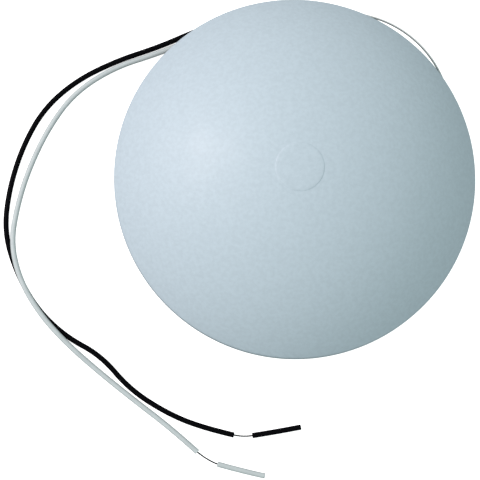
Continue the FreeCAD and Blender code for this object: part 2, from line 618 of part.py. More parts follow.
def base_tray():
    """Round tray with a flange, a seal groove, a lanyard loop, bosses and the lead outlet."""
    groove_in, groove_out = "seal_circle - seal_section", "seal_circle + seal_section"
    groove_floor = "joint_plane - 2 * seal_section"
    shell = turned([("0", "gasket_thick"), ("tray_radius", "gasket_thick"),
                    ("tray_radius", "flange_bottom"), ("flange_radius", "flange_bottom"),
                    ("flange_radius", "joint_plane"), (groove_out, "joint_plane"),
                    (groove_out, groove_floor), (groove_in, groove_floor),
                    (groove_in, "joint_plane"), ("tray_inner", "joint_plane"),
                    ("tray_inner", "floor_top"), ("0", "floor_top")])
    middle = towards("loop_offset", "loop_azimuth")
    eye = cut(rod("loop_radius - loop_bar", "loop_bottom", "loop_top", *middle),
              rod("flange_radius", "loop_bottom", "loop_top"))
    loop = cut(rod("loop_radius", "loop_bottom", "loop_top", *middle),
               rod("tray_radius - tray_wall / 2", "loop_bottom", "loop_top"), eye)
    outlet = shared(block(("-exit_face", "tray_radius - exit_depth", "gasket_thick"),
                          ("-exit_face + exit_width", "flange_radius", "flange_bottom")),
                    rod("flange_radius", "gasket_thick", "flange_bottom"))
    bosses = [rod("insert_boss", "gasket_thick", "insert_top + insert_cap", x, y)
              for x, y in INSERT_PLACES]
    posts = [rod("post_radius", "gasket_thick", "board_bottom", x, y) for x, y in BOARD_POSTS]
    rim = rod("vent_radius + vent_rim", "gasket_thick", "floor_top + vent_raise", *VENT_PLACE)
    solid = join(shell, loop, outlet, rim, *bosses, *posts)
    cavity = block(("-exit_face + exit_wall", "tray_radius - exit_depth - tray_wall", "floor_top"),
                   ("-exit_face + exit_width - exit_wall", "tray_radius + grommet_flange + grommet_room",
                    "exit_ceiling"))
    passage = bar("grommet_neck", "x", "-exit_face - exit_wall", "-exit_face + exit_wall", 0,
                  "tray_radius", "lead_level")
    seat = bar("grommet_flange", "x", "-exit_face - grommet_lip", "-exit_face", 0, "tray_radius",
               "lead_level")
    tools = [cavity, passage, seat, rod("vent_radius", "0", "floor_top + vent_raise", *VENT_PLACE)]
    for x, y in SCREW_PLACES:
        tools.append(rod("screw_radius + hole_gap", "flange_bottom", "joint_plane", x, y))
        tools.append(rod("screw_head + head_room", "gasket_thick", "flange_bottom", x, y))
    for x, y in INSERT_PLACES:
        tools.append(rod("insert_radius", "gasket_thick", "insert_top", x, y))
    for x, y in BOARD_POSTS:
        tools.append(rod("small_screw", "blind_end", "board_bottom", x, y))
    for x, y in CLAMP_SCREWS:
        tools.append(rod("small_screw", "blind_end", "floor_top", x, y))
    for x, y in STANDOFF_PLACES:
        tools.append(rod("screw_radius", "blind_end", "floor_top", x, y))
    named(cut(solid, *tools), "base_tray")


def deck_gasket():
    """Flat ring that the unit stands on."""
    ring = plate(["gasket_outer", "gasket_inner"], "gasket_thick")
    named(ring, "deck_gasket")


def mounting_inserts():
    """Four brass inserts that take the bolts from below."""
    pieces = []
    for x, y in INSERT_PLACES:
        sleeve = rod("insert_radius", "gasket_thick", "insert_top", x, y)
        pieces.append(cut(sleeve, rod("insert_bore", "gasket_thick", "insert_top", x, y)))
    named(group(*pieces), "mounting_inserts")


def breather_vent():
    """Pressure vent: a stem through the floor, with a cap inside and a shallow disc outside."""
    seat, top = "floor_top + vent_raise", "floor_top + vent_raise + vent_cap_thick"
    vent = turned([("0", "vent_recess"), ("vent_radius", "vent_recess"), ("vent_radius", seat),
                   ("vent_radius + vent_cap", seat), ("vent_radius + vent_cap", top), ("0", top)])
    slots = [block(("-vent_slot_half", "%d * vent_slot_pitch - vent_slot / 2" % step, "vent_recess"),
                   ("vent_slot_half", "%d * vent_slot_pitch + vent_slot / 2" % step,
                    "vent_recess + vent_slot_deep"))
             for step in (-1, 0, 1)]
    item = cut(vent, *slots)
    named(place(item, x=VENT_PLACE[0], y=VENT_PLACE[1]), "breather_vent")


def lead_outlet():
    """Rubber grommet, and the clamp that holds both leads on the floor."""
    body = turned([("0", "-grommet_lip"), ("grommet_flange", "-grommet_lip"), ("grommet_flange", "0"),
                   ("grommet_neck", "0"), ("grommet_neck", "exit_wall"), ("grommet_flange", "exit_wall"),
                   ("grommet_flange", "exit_wall + grommet_lip"), ("0", "exit_wall + grommet_lip")])
    lying(body, "x", "-exit_face", 0, "tray_radius", "lead_level")
    outer_end, inner_end = "-exit_face - 2 * grommet_lip", "-exit_face + exit_wall + 2 * grommet_lip"
    flat = block(("-exit_face + exit_wall", "tray_radius - 2 * grommet_flange",
                  "lead_level - 2 * grommet_flange"),
                 (inner_end, "tray_radius + 2 * grommet_flange", "floor_top"))
    bores = [bar("lead_radius", "x", outer_end, inner_end, 0, "tray_radius %s lead_pitch / 2" % side,
                 "lead_level") for side in "+-"]
    named(cut(body, flat, *bores), "cable_grommet")

    near, far = "clamp_line - clamp_depth / 2", "clamp_line + clamp_depth / 2"
    saddle = block((CLAMP_SCREWS[0][0] + " - clamp_edge", near, "floor_top"),
                   (CLAMP_SCREWS[1][0] + " + clamp_edge", far, "floor_top + clamp_high"))
    tools = []
    for lane in ("-black_lane", "-black_lane - lane_pitch"):
        tools.append(bar("lead_radius", "y", near, far, lane, 0, "lead_level"))
        tools.append(block((lane + " - lead_radius", near, "floor_top"),
                           (lane + " + lead_radius", far, "lead_level")))
    for x, y in CLAMP_SCREWS:
        tools.append(rod("small_screw + hole_gap", "floor_top", "floor_top + clamp_high", x, y))
    named(cut(saddle, *tools), "lead_clamp")
    named(group(*[small_screw(x, y, "floor_top + clamp_high", "blind_tip") for x, y in CLAMP_SCREWS]),
          "lead_clamp_screws")


# ---------------------------------------------------------------- chassis, spindle and bearings

MOTOR_PLACE = ("0", "-gear_module * %d / 2" % (GEAR_TEETH + PINION_TEETH))
SPINDLE_PLACES = around(SPINDLE_SCREWS, "spindle_screws_at", 30)
GEAR_SCREWS = around(3, "gear_screws_at", 90)
YOKE_SCREWS = around(3, "gear_screws_at", 30)
MOTOR_SCREWS = [("-motor_radius * 0.7", MOTOR_PLACE[1]), ("motor_radius * 0.7", MOTOR_PLACE[1])]
LINK_POSTS = [("%d * (link_half - link_inset)" % side, line) for line in
              ("link_front + link_inset", "link_back - link_inset") for side in (-1, 1)]


def chassis():
    """Round plate on four standoffs; the spindle, the motor and the upper board hang on it."""
    sheet_metal = plate(["plate_radius", "spindle_bore"], "plate_thick", "plate_bottom")
    drill(sheet_metal, "screw_radius + hole_gap", "standoff_circle", STANDOFFS, "standoff_azimuth")
    drill(sheet_metal, "small_screw + hole_gap", "spindle_screws_at", SPINDLE_SCREWS, 30)
    holes = [rod("motor_boss + shaft_gap", "plate_bottom", "plate_top", *MOTOR_PLACE)]
    holes += [rod("small_screw + hole_gap", "plate_bottom", "plate_top", x, y) for x, y in MOTOR_SCREWS]
    holes += [rod("small_screw", "plate_bottom", "plate_top", x, y) for x, y in LINK_POSTS]
    named(cut(sheet_metal, *holes), "chassis_plate")
    pillars = []
    for x, y in STANDOFF_PLACES:
        pillar = rod("standoff_radius", "floor_top", "plate_bottom", x, y)
        pillars.append(cut(pillar, rod("screw_radius", "floor_top", "plate_bottom", x, y)))
    named(group(*pillars), "chassis_standoffs")
    named(group(*[screw(x, y, "plate_top", "blind_tip") for x, y in STANDOFF_PLACES]),
          "chassis_screws")


def spindle():
    """Hollow fixed post that carries both bearings."""
    ring_floor, ring_end = "spindle_radius - ring_groove", "ring_seat + ring_thick"
    post = turned([("spindle_bore", "plate_top"), ("spindle_flange", "plate_top"),
                   ("spindle_flange", "foot_top"), ("shoulder_radius", "foot_top"),
                   ("shoulder_radius", "lower_seat"), ("spindle_radius", "lower_seat"),
                   ("spindle_radius", "ring_seat"), (ring_floor, "ring_seat"), (ring_floor, ring_end),
                   ("spindle_radius", ring_end), ("spindle_radius", "spindle_top"),
                   ("spindle_bore", "spindle_top")])
    holes = [rod("small_screw", "plate_top", "foot_top - tip_gap", x, y) for x, y in SPINDLE_PLACES]
    named(cut(post, *holes), "spindle_post")
    named(group(*[small_screw(x, y, "plate_bottom", "foot_top - 2 * tip_gap", upward=True)
                  for x, y in SPINDLE_PLACES]), "spindle_screws")
    clip = cut(rod("spindle_radius + ring_wide", "ring_seat", ring_end),
               rod(ring_floor, "ring_seat", ring_end),
               block(("0", "-ring_opening", "ring_seat"),
                     ("spindle_radius + 2 * ring_wide", "ring_opening", ring_end)))
    named(clip, "retaining_ring")
    spacer = cut(rod("shoulder_radius", "lower_seat + bearing_wide", "upper_seat"),
                 rod("spindle_radius", "lower_seat + bearing_wide", "upper_seat"))
    named(spacer, "bearing_spacer")


def bearing(name, seat):
    """Ball bearing: two grooved races, the balls and their cage."""
    middle = seat + " + bearing_wide / 2"
    top = seat + " + bearing_wide"
    grooves = []
    for step in range(2):
        groove = doc.addObject("Part::Torus", "Groove")
        bind(groove, Radius1="ball_circle", Radius2="ball_radius + ball_gap")
        grooves.append(place(groove, z=middle))
    inner = cut(rod("spindle_radius + race_wall", seat, top), rod("spindle_radius", seat, top), grooves[0])
    outer = cut(rod("bearing_outer", seat, top), rod("bearing_outer - race_wall", seat, top), grooves[1])
    named(inner, name + "_bearing_inner_race")
    named(outer, name + "_bearing_outer_race")
    places = around(BALLS, "ball_circle")
    named(group(*[ball("ball_radius", x, y, middle) for x, y in places]), name + "_bearing_balls")
    low, high = middle + " - cage_high / 2", middle + " + cage_high / 2"
    band = cut(rod("ball_circle + cage_wall / 2", low, high), rod("ball_circle - cage_wall / 2", low, high),
               *[ball("ball_radius", x, y, middle) for x, y in places])
    named(band, name + "_bearing_cage")


# ---------------------------------------------------------------- drive


def involute(angle):
    """Involute function."""
    return math.tan(angle) - angle


def gear_outline(teeth, thickness_loss):
    """Closed face of a spur gear with a tooth centred on +X."""
    module = size("gear_module")
    pitch = module * teeth / 2
    base, tip, root = pitch * math.cos(PRESSURE_ANGLE), pitch + module, pitch - 1.25 * module
    half = math.pi / (2 * teeth) - thickness_loss / (2 * pitch) + involute(PRESSURE_ANGLE)
    start = max(base, root)
    steps = 5
    radii = [start + (tip - start) * step / steps for step in range(steps + 1)]
    flank = [(radius, half - involute(math.acos(min(1.0, base / radius)))) for radius in radii]
    flank.insert(0, (root, flank[0][1]))
    points = []
    for tooth in range(teeth):
        turn = 2 * math.pi * tooth / teeth
        side = [(radius, turn - angle) for radius, angle in flank]
        side += [(radius, turn + angle) for radius, angle in reversed(flank)]
        points += [FreeCAD.Vector(radius * math.cos(angle), radius * math.sin(angle), 0)
                   for radius, angle in side]
    return Part.Face(Part.makePolygon(points + points[:1]))


def toothed(label, teeth, bore, thickness):
    """A spur gear blank with its teeth, its lower face at z = 0."""
    gear = doc.addObject("Part::Feature", label)
    solid = gear_outline(teeth, TOOTH_BACKLASH / 2).extrude(FreeCAD.Vector(0, 0, size(thickness)))
    gear.Shape = solid.cut(Part.makeCylinder(size(bore), size(thickness)))
    return gear


def drive():
    """Pancake stepper under the plate, its pinion, and the large gear on the hub."""
    place_x, place_y = MOTOR_PLACE
    can = join(rod("motor_radius", "motor_bottom", "plate_bottom", place_x, place_y),
               rod("motor_boss", "plate_bottom", "plate_bottom + motor_boss_high", place_x, place_y))
    tools = [rod("shaft_radius + shaft_gap", "motor_bottom + motor_back",
                 "plate_bottom + motor_boss_high", place_x, place_y)]
    tools += [rod("small_screw", "plate_bottom - motor_thread", "plate_bottom", x, y)
              for x, y in MOTOR_SCREWS]
    named(cut(can, *tools), "drive_motor")
    named(group(*[small_screw(x, y, "plate_top", "plate_bottom - motor_thread + tip_gap")
                  for x, y in MOTOR_SCREWS]), "motor_screws")
    named(rod("shaft_radius", "motor_bottom + motor_back + shaft_end_gap",
              "pinion_bottom + pinion_thick + shaft_over", place_x, place_y), "motor_shaft")
    pinion = toothed("Pinion", PINION_TEETH, "shaft_radius", "pinion_thick")
    named(place(pinion, place_x, place_y, "pinion_bottom"), "motor_pinion")

    gear = place(toothed("Gear", GEAR_TEETH, "hub_radius", "gear_thick"), z="gear_bottom")
    tools = [rod("small_screw", "gear_top - gear_thread", "gear_top", x, y)
             for x, y in GEAR_SCREWS + YOKE_SCREWS]
    tools.append(rod("magnet_radius", "gear_bottom", "gear_bottom + magnet_high", "-magnet_at"))
    windows = around(6, "(hub_flange + gear_module * %d / 2) / 2" % GEAR_TEETH, 30)
    tools += [rod("gear_window", "gear_bottom", "gear_top", x, y) for x, y in windows]
    named(cut(gear, *tools), "drive_gear")
    named(rod("magnet_radius", "gear_bottom", "gear_bottom + magnet_high", "-magnet_at"), "index_magnet")


# ---------------------------------------------------------------- scanner

WEIGHT_MIDDLE = "-weight_front - weight_depth / 2"


def rotor_hub():
    """Hub with a seat for each bearing and a flange that gear and yoke bolt to."""
    bore = "bearing_outer - race_wall"
    hub = turned([("bearing_outer", "hub_bottom"), ("hub_radius", "hub_bottom"), ("hub_radius", "gear_top"),
                  ("hub_flange", "gear_top"), ("hub_flange", "yoke_bottom"), ("hub_radius", "yoke_bottom"),
                  ("hub_radius", "hub_top"), ("bearing_outer", "hub_top"), ("bearing_outer", "upper_seat"),
                  (bore, "upper_seat"), (bore, "lower_seat + bearing_wide"),
                  ("bearing_outer", "lower_seat + bearing_wide")])
    holes = [rod("small_screw + hole_gap", "gear_top", "yoke_bottom", x, y)
             for x, y in GEAR_SCREWS + YOKE_SCREWS]
    named(cut(hub, *holes), "rotor_hub")


def scanner_yoke():
    """Sheet bracket: a ring on the hub, an upright for the array and a tail for the weight."""
    ring = rod("hub_flange + yoke_ring", "yoke_bottom", "yoke_top")
    front = block(("-yoke_half", "0", "yoke_bottom"), ("yoke_half", "array_back", "yoke_top"))
    upright = block(("-yoke_half", "array_face", "yoke_bottom"),
                    ("yoke_half", "array_back", "yoke_top + upright_high"))
    tail = block(("-weight_half", "-weight_front - weight_depth", "yoke_bottom"),
                 ("weight_half", "0", "yoke_top"))
    tools = [rod("hub_radius", "yoke_bottom", "yoke_top + upright_high")]
    for x, y in GEAR_SCREWS:
        tools.append(rod("small_head + hole_gap", "yoke_bottom", "yoke_top", x, y))
    for x, y in YOKE_SCREWS:
        tools.append(rod("small_screw + hole_gap", "yoke_bottom", "yoke_top", x, y))
    tools.append(rod("small_screw + hole_gap", "yoke_bottom", "yoke_top", 0, WEIGHT_MIDDLE))
    for side in (-1, 1):
        tools.append(bar("small_screw", "y", "array_face", "array_back", "%d * array_screw_x" % side, 0,
                         "array_screw_z"))
    named(cut(join(ring, front, upright, tail), *tools), "scanner_yoke")
    named(group(*[small_screw(x, y, "yoke_bottom", "gear_tip") for x, y in GEAR_SCREWS],
                *[small_screw(x, y, "yoke_top", "gear_tip") for x, y in YOKE_SCREWS]), "rotor_screws")


def array():
    """Array board with its patches, shield cans and screws."""
    board = block(("-array_half", "array_back", "yoke_bottom"), ("array_half", "array_front", "array_top"))
    holes = [bar("small_screw + hole_gap", "y", "array_back", "array_front",
                 "%d * array_screw_x" % side, 0, "array_screw_z") for side in (-1, 1)]
    named(cut(board, *holes), "array_board")
    patches = []
    for column in range(PATCH_COLUMNS):
        if abs(column - (PATCH_COLUMNS - 1) / 2) == 2:
            continue
        middle = "patch_pitch * %g" % (column - (PATCH_COLUMNS - 1) / 2)
        patches.append(block((middle + " - patch_size / 2", "array_front", "patch_row - patch_size / 2"),
                             (middle + " + patch_size / 2", "array_front + patch_thick",
                              "patch_row + patch_size / 2")))
    named(group(*patches), "array_patches")
    near, far = "yoke_half + can_gap", "array_half - can_edge"
    cans = [block((left, "array_back - can_depth", "yoke_top + can_lift"),
                  (right, "array_back", "array_top - can_gap"))
            for left, right in ((near, far), ("-(%s)" % far, "-(%s)" % near))]
    named(group(*cans), "shield_cans")
    pieces = []
    for side in (-1, 1):
        x, z = "%d * array_screw_x" % side, "array_screw_z"
        head = bar("small_head", "y", "array_front", "array_front + small_head_high", x, 0, z)
        shank = bar("small_screw", "y", "array_face - array_tip", "array_front", x, 0, z)
        pieces.append(join(head, shank))
    named(group(*pieces), "array_screws")


def counterweight():
    """Weight on the yoke's tail, opposite the array."""
    weight = block(("-weight_half", "-weight_front - weight_depth", "yoke_top"),
                   ("weight_half", "-weight_front", "yoke_top + weight_high"))
    hole = rod("small_screw", "yoke_top", "yoke_top + weight_thread", 0, WEIGHT_MIDDLE)
    named(cut(weight, hole), "counterweight")
    named(small_screw("0", WEIGHT_MIDDLE, "yoke_bottom", "yoke_top + weight_thread - tip_gap", upward=True),
          "counterweight_screw")


def slip_ring():
    """Contact bands on a fixed core, and the brushes that turn with the hub."""
    core = join(rod("slip_radius", "spindle_top", "spindle_top + slip_high"),
                rod("spindle_bore", "spindle_top - slip_peg", "spindle_top"))
    named(core, "slip_ring_core")
    bands, brushes = [], []
    for step in range(SLIP_BANDS):
        low = "spindle_top + band_wide + %d * band_pitch" % step
        high = low + " + band_wide"
        bands.append(cut(rod("slip_radius + band_thick", low, high), rod("slip_radius", low, high)))
        brushes.append(block(("slip_radius + band_thick + brush_gap", "-brush_half",
                              low + " + brush_inset"),
                             ("brush_wall", "brush_half", high + " - brush_inset")))
    named(group(*bands), "slip_ring_bands")
    named(group(*brushes), "slip_ring_brushes")
    holder = block(("brush_wall", "-holder_half", "hub_top"),
                   ("hub_radius - holder_inset", "holder_half", "spindle_top + slip_high"))
    named(holder, "brush_block")


# ---------------------------------------------------------------- boards


def boards():
    """Power board on the floor, radio link board and index sensor on the chassis plate."""
    low, high = ("-board_half", "board_front", "board_bottom"), ("board_half", "board_back", "board_top")
    holes = [rod("small_screw + hole_gap", "board_bottom", "board_top", x, y) for x, y in BOARD_POSTS]
    named(cut(block(low, high), *holes), "power_board")
    wells = ("-black_lane", "-black_lane - lane_pitch")
    terminal_back, terminal_top = "board_back - terminal_setback", "board_top + terminal_high"
    terminal = block((wells[1] + " - terminal_edge", terminal_back + " - terminal_deep", "board_top"),
                     (wells[0] + " + terminal_edge", terminal_back, terminal_top))
    tops = [rod("terminal_screw", terminal_top + " - terminal_well", terminal_top, lane,
                terminal_back + " - terminal_deep / 2") for lane in wells]
    named(cut(terminal, *tops), "terminal_block")
    row = "board_front + power_row"
    coil = cut(rod("coil_radius", "board_top", "board_top + coil_high", "coil_at", row),
               rod("coil_bore", "board_top", "board_top + coil_high", "coil_at", row))
    cans = [rod("capacitor_radius", "board_top", "board_top + capacitor_high", x, row)
            for x in ("-capacitor_at", "-capacitor_at - capacitor_pitch")]
    named(group(coil, *cans), "power_components")

    low, high = ("-link_half", "link_front", "link_bottom"), ("link_half", "link_back", "link_top")
    holes = [rod("small_screw + hole_gap", "link_bottom", "link_top", x, y) for x, y in LINK_POSTS]
    named(cut(block(low, high), *holes), "radio_link_board")
    spacers = [cut(rod("spacer_radius", "plate_top", "link_bottom", x, y),
                   rod("small_screw", "plate_top", "link_bottom", x, y)) for x, y in LINK_POSTS]
    named(group(*spacers), "link_board_spacers")
    named(group(*[small_screw(x, y, "board_top", "blind_tip") for x, y in BOARD_POSTS],
                *[small_screw(x, y, "link_top", "plate_bottom + tip_gap") for x, y in LINK_POSTS]),
          "board_screws")
    named(block(("-module_half", "link_front + module_inset", "link_top"),
                ("module_half", "link_back - module_inset", "link_top + module_high")), "radio_module")

    base = block(("-magnet_at - sensor_half", "-sensor_half", "plate_top"),
                 ("-magnet_at + sensor_half", "sensor_half", "plate_top + sensor_thick"))
    chip = block(("-magnet_at - chip_half", "-chip_half", "plate_top + sensor_thick"),
                 ("-magnet_at + chip_half", "chip_half", "plate_top + sensor_thick + chip_high"))
    named(join(base, chip), "index_sensor")


# ---------------------------------------------------------------- leads


def rounded_path(points):
    """Straight runs joined by tangent arcs; also gives the arcs' radii."""
    edges, radii = [], []
    start = points[0]
    for before, corner, after in zip(points, points[1:], points[2:]):
        inward, outward = (before - corner).normalize(), (after - corner).normalize()
        turn = math.pi - inward.getAngle(outward)
        trim = 0.45 * min(corner.distanceToPoint(before), corner.distanceToPoint(after))
        radius = trim / math.tan(turn / 2)
        radii.append(radius)
        first, last = corner + inward * trim, corner + outward * trim
        towards_centre = (inward + outward).normalize()
        middle = corner + towards_centre * (radius / math.cos(turn / 2) - radius)
        edges.append(Part.LineSegment(start, first).toShape())
        edges.append(Part.Arc(first, middle, last).toShape())
        start = last
    edges.append(Part.LineSegment(start, points[-1]).toShape())
    return Part.Wire(edges), radii


def cord(label, route, radius):
    """A round cord along a route of points."""
    points = [FreeCAD.Vector(*point) for point in route]
    wire, radii = rounded_path(points)
    heading = points[1] - points[0]
    section = Part.Wire(Part.Circle(points[0], heading, radius).toShape())
    tube = doc.addObject("Part::Feature", label)
    tube.Shape = wire.makePipeShell([section], True, False)
    expected = math.pi * radius ** 2 * wire.Length
    print("%s: length %.1f, radii %s, volume %.1f of %.1f" % (
        label, wire.Length, " ".join("%.1f" % bend for bend in radii), tube.Shape.Volume, expected))
    if abs(tube.Shape.Volume - expected) > 0.01 * expected:
        raise ValueError("%s has the wrong volume" % label)
    return named(tube, label)


# routes of the free leads, from the grommet's face along the surface the unit stands on
BLACK_ROUTE = [
    (-22.2, 68.35, 5.65), (-32.0, 68.35, 5.65), (-43.0, 65.2, 2.4), (-57.5, 58.9, 1.15),
    (-75.0, 52.9, 1.15), (-92.5, 44.2, 1.15), (-106.3, 31.3, 1.15), (-115.2, 14.6, 1.15),
    (-120.6, -3.5, 1.15), (-122.4, -21.5, 1.15), (-117.0, -39.0, 1.15), (-108.3, -54.2, 1.15),
    (-96.3, -65.6, 1.15), (-81.6, -74.8, 1.15), (-69.0, -88.0, 1.15), (-52.5, -98.4, 1.15),
    (-37.5, -104.2, 1.15), (-25.0, -107.1, 1.15),
]
WHITE_ROUTE = [
    (-22.2, 65.65, 5.65), (-31.8, 65.65, 5.65), (-43.0, 61.7, 2.4), (-57.5, 55.7, 1.15),
    (-76.5, 49.5, 1.15), (-93.5, 38.2, 1.15), (-104.5, 22.6, 1.15), (-112.6, 4.8, 1.15),
    (-117.2, -11.0, 1.15), (-119.3, -26.0, 6.6), (-116.0, -41.0, 6.6), (-107.8, -55.4, 6.6),
    (-97.0, -67.6, 6.6), (-83.5, -79.4, 1.15), (-66.8, -92.8, 1.15), (-51.5, -104.4, 1.15),
    (-40.4, -114.3, 1.15),
]
BLACK_STRANDS = [(-25.0, -107.1, 1.15), (-20.8, -107.9, 1.15), (-17.2, -107.3, 1.15)]
WHITE_STRANDS = [(-40.4, -114.3, 1.15), (-36.2, -117.7, 1.15), (-32.0, -119.3, 1.15)]
BLACK_SLUG = [(-17.2, -107.3, 1.15), (-7.0, -105.7, 1.15), (3.3, -103.7, 1.15)]
WHITE_SLUG = [(-32.0, -119.3, 1.15), (-22.0, -122.1, 1.15), (-11.9, -124.3, 1.15)]


def inner_route(side, lane):
    """A lead's way from the grommet's face to the terminal block."""
    line = size("tray_radius") + side * size("lead_pitch") / 2
    level, terminal = size("lead_level"), size("terminal_level")
    face = -size("exit_face") - size("grommet_lip")
    bend = size("inner_bend")
    clamp_end = size("clamp_line") - size("clamp_depth") / 2 - size("clamp_lead_out")
    block_face = size("board_back") - size("terminal_setback")
    return [(face, line, level), (-lane - bend, line, level), (-lane, line - bend, level),
            (-lane, clamp_end, level), (-lane, block_face + size("block_lead_in"), terminal),
            (-lane, block_face, terminal)]


def leads():
    """The free leads with their bare strands and the cut insulation left on the ends."""
    black_lane = size("black_lane")
    white_lane = black_lane + size("lane_pitch")
    cord("inner_black_lead", inner_route(1, black_lane), size("lead_radius"))
    cord("inner_white_lead", inner_route(-1, white_lane), size("lead_radius"))
    for colour, route, strands, slug in (("black", BLACK_ROUTE, BLACK_STRANDS, BLACK_SLUG),
                                         ("white", WHITE_ROUTE, WHITE_STRANDS, WHITE_SLUG)):
        cord(colour + "_lead", route, size("lead_radius"))
        cord(colour + "_lead_strands", strands, size("wire_radius"))
        cord(colour + "_lead_slug", slug, size("lead_radius"))


# ---------------------------------------------------------------- build, check and write

radome()
radome_seal()
base_tray()
deck_gasket()
mounting_inserts()
breather_vent()
lead_outlet()
chassis()
spindle()
bearing("lower", "lower_seat")
bearing("upper", "upper_seat")
drive()
rotor_hub()
scanner_yoke()
array()
counterweight()
slip_ring()
boards()
leads()
doc.recompute()

for item in doc.Objects:
    if {"Invalid", "Error"} & set(item.State):
        raise ValueError("%s is %s" % (item.Name, item.State))
for node in NODES:
    if node.Shape.isNull() or not node.Shape.isValid() or not node.Shape.Solids:
        raise ValueError("%s has no valid solid" % node.Label)

os.makedirs("parts", exist_ok=True)
for node in NODES:
    node.Shape.exportStep("parts/%s.step" % node.Label)
    print("%-28s %3d solids %10.1f mm3" % (node.Label, len(node.Shape.Solids), node.Shape.Volume))
print(len(NODES), "sub-parts")
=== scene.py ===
import json
import math

import bmesh
import bpy
from mathutils import Matrix, Vector


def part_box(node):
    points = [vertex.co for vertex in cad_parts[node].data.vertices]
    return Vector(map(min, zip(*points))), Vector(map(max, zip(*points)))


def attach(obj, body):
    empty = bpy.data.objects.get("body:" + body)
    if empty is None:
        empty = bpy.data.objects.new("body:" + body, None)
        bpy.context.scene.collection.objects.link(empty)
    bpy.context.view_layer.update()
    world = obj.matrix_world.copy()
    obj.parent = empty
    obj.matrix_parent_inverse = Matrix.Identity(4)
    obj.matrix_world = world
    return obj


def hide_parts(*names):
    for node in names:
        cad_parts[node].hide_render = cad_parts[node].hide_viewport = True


# Compact radar dome antenna: a grained spherical-cap radome on a round tray, with a black and a
# white hook-up lead lying beside it.  Metres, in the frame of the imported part.

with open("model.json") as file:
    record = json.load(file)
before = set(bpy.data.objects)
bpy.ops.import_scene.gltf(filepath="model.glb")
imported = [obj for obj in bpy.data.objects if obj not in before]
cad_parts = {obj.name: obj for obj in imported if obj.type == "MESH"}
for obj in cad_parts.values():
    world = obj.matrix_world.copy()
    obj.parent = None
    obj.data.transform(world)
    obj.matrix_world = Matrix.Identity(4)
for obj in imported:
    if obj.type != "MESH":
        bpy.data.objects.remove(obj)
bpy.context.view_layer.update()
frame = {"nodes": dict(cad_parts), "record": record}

MM = 0.001


def box(node):
    """Lowest and highest corners of a part at rest."""
    low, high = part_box(node)
    return Vector(low), Vector(high)


# ---------------------------------------------------------------- sizes taken from the part

radome_low, radome_high = box("radome")
tray_high = box("base_tray")[1]

RIM_RADIUS = radome_high.x
CROWN_TOP = radome_high.z
SKIRT_BOTTOM = radome_low.z
CROWN_STEP = 0.15 * MM
APEX = CROWN_TOP - CROWN_STEP
SKIRT_DROP = 5 * MM
RIM_HEIGHT = SKIRT_BOTTOM + SKIRT_DROP
JOINT_PLANE = tray_high.z
SKIRT_WALL = 2.2 * MM
SKIRT_INNER = RIM_RADIUS - SKIRT_WALL
FLANGE_INNER = 64 * MM
DOME_WALL = 2.5 * MM
RIM_ROUND = 2.0 * MM
CROWN_RADIUS = 10.0 * MM
LEAD_RADIUS = 1.15 * MM
SOFTENED = 0.3
DOME_RISE = APEX - RIM_HEIGHT
DOME_RADIUS = (RIM_RADIUS ** 2 + DOME_RISE ** 2) / (2 * DOME_RISE)
DOME_CENTRE = APEX - DOME_RADIUS

# ---------------------------------------------------------------- camera

CAMERA_DISTANCE = 1.2
CLIP_NEAR = 0.05
CLIP_FAR = 20
CAMERA_LENS = 215.1
VIEW_TOWARDS_X = -0.0372
VIEW_TOWARDS_Y = -0.1076
LOOK_AT = Vector((-0.02315, -0.02637, RIM_HEIGHT))


def add_camera():
    """A long lens nearly straight above the dome, leaning a little to the lower left."""
    camera = bpy.data.objects.new("camera", bpy.data.cameras.new("camera"))
    bpy.context.collection.objects.link(camera)
    back = Vector((VIEW_TOWARDS_X, VIEW_TOWARDS_Y, 0))
    back.z = math.sqrt(1 - back.length_squared)
    right = Vector((0, 1, 0)).cross(back).normalized()
    up = back.cross(right)
    turn = Matrix((right, up, back)).transposed().to_4x4()
    camera.matrix_world = Matrix.Translation(LOOK_AT + back * CAMERA_DISTANCE) @ turn
    camera.data.lens = CAMERA_LENS
    camera.data.clip_start = CLIP_NEAR
    camera.data.clip_end = CLIP_FAR
    bpy.context.scene.camera = camera


add_camera()

# ---------------------------------------------------------------- routes of the free leads

# points in metres along each lead, from the grommet's face to the end of its insulation
BLACK_ROUTE = [
    (-0.0222, 0.06835, 0.00565), (-0.0320, 0.06835, 0.00565), (-0.0430, 0.0646, 0.0024),
    (-0.0575, 0.0584, 0.00115), (-0.0750, 0.0525, 0.00115), (-0.0925, 0.0437, 0.00115),
    (-0.1063, 0.0313, 0.00115), (-0.1152, 0.0146, 0.00115), (-0.1206, -0.0035, 0.00115),
    (-0.1224, -0.0215, 0.00115), (-0.1170, -0.0390, 0.00115), (-0.1083, -0.0542, 0.00115),
    (-0.0963, -0.0656, 0.00115), (-0.0812, -0.0737, 0.00115), (-0.0690, -0.0880, 0.00115),
    (-0.0525, -0.0984, 0.00115), (-0.0375, -0.1042, 0.00115), (-0.0250, -0.1071, 0.00115),
]
WHITE_ROUTE = [
    (-0.0222, 0.06565, 0.00565), (-0.0318, 0.06565, 0.00565), (-0.0430, 0.0617, 0.0024),
    (-0.0575, 0.0557, 0.00115), (-0.0765, 0.0495, 0.00115), (-0.0935, 0.0382, 0.00115),
    (-0.1045, 0.0226, 0.00115), (-0.1126, 0.0048, 0.00115), (-0.1172, -0.0110, 0.00125),
    (-0.1193, -0.0260, 0.0037), (-0.1160, -0.0410, 0.0036), (-0.1078, -0.0554, 0.0036),
    (-0.0970, -0.0676, 0.0036), (-0.0835, -0.0794, 0.00115), (-0.0668, -0.0928, 0.00115),
    (-0.0515, -0.1044, 0.00115), (-0.0404, -0.1143, 0.00115),
]
BLACK_STRANDS = [(-0.0250, -0.1071, 0.00115), (-0.0208, -0.1079, 0.00115), (-0.0172, -0.1073, 0.00115)]
